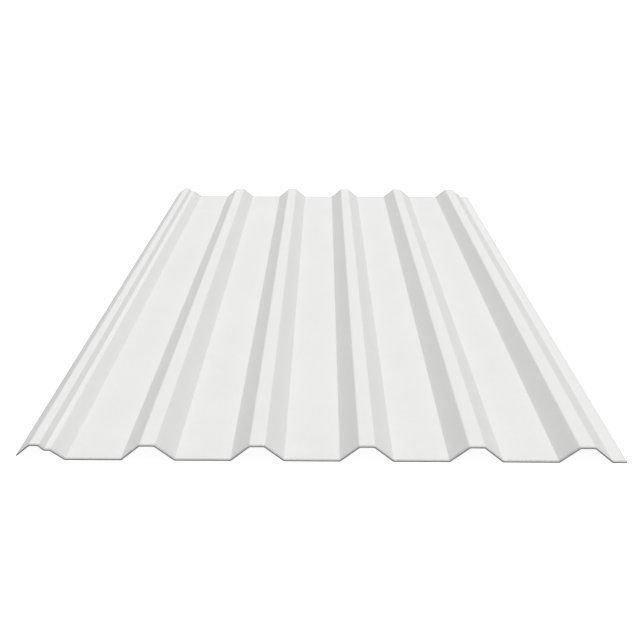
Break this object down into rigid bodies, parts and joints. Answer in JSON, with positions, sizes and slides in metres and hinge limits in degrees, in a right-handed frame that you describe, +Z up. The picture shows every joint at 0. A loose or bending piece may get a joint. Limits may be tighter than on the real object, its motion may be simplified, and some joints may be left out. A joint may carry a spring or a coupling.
{
  "type": "fiberglass roofing sheet",
  "caption": "White trapezoidal fiberglass roofing sheet with ribs along its length, a stepped lap rib on one edge and a flat lip on the other.",
  "frame": {"origin": "underside of the middle pan, at the middle of the cover width and of the length", "axes": "+Y along the ribs, +Z up out of the crowns, +X from the lap rib towards the flat lip"},
  "size_m": [1.1153, 1.83, 0.0325],
  "materials": {
    "laminate": "satin white polyester and glass laminate"
  },
  "bodies": {
    "root": {"roofing_sheet": "laminate"}
  },
  "joints": []
}
